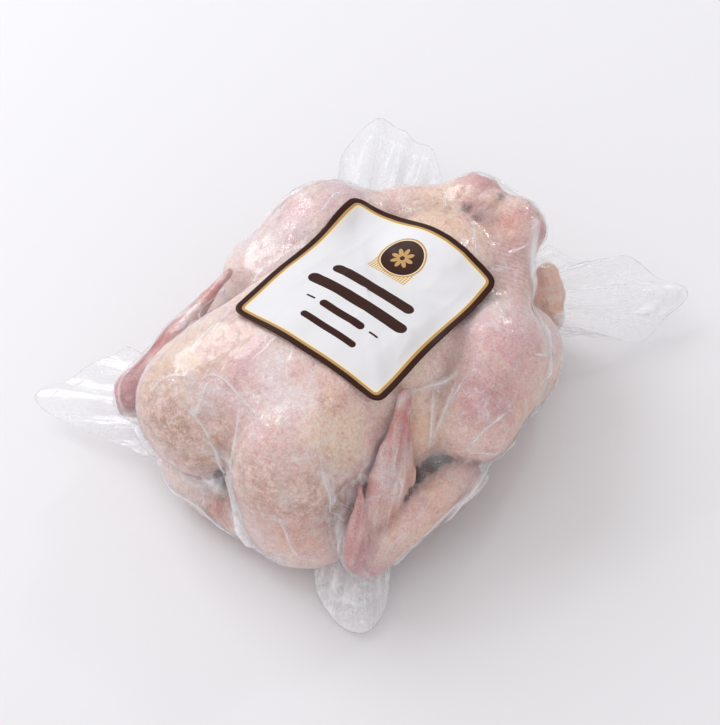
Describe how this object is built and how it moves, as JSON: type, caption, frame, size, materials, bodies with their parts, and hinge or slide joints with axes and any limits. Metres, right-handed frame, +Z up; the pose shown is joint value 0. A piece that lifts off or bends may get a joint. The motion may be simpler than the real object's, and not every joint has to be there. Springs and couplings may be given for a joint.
{
  "type": "whole raw chicken",
  "caption": "Whole raw frozen chicken, breast up, sealed tight in a clear vacuum pouch with four film ears and a blank printed label.",
  "frame": {"origin": "on the surface that the pack rests on, on the flat of the bird's back below its middle", "axes": "+Z up through the breast, +Y towards the tail, +X along the label's lines as they are read"},
  "size_m": [0.2175, 0.2633, 0.0976],
  "materials": {
    "chicken_skin": "raw pale pink skin with cream fat, wet and frosted",
    "pouch_film": "clear glossy vacuum film, creased, with frosted seals",
    "label_print": "satin white print with a dark brown border and gold and cream lines"
  },
  "bodies": {
    "root": {"bagged_chicken": "chicken_skin", "label": "label_print"}
  },
  "joints": []
}
